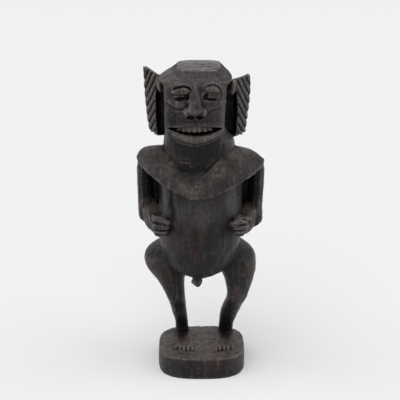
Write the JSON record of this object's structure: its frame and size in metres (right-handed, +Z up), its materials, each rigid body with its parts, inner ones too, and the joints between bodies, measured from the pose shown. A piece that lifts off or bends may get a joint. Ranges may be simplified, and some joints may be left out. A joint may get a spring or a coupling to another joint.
{
  "type": "tribal sculpture",
  "caption": "Squatting pot-bellied guardian figure with winged ears and bared teeth, carved in one piece with its low base.",
  "frame": {"origin": "centre of the base's flat underside, where the sculpture rests", "axes": "+Z up through the figure, -Y the way the figure faces, +X towards the figure's own left hand"},
  "size_m": [0.1998, 0.1408, 0.496],
  "materials": {
    "stained_hardwood": "dark stain, worn to a dull satin"
  },
  "bodies": {
    "root": {"figure": "stained_hardwood"}
  },
  "joints": []
}
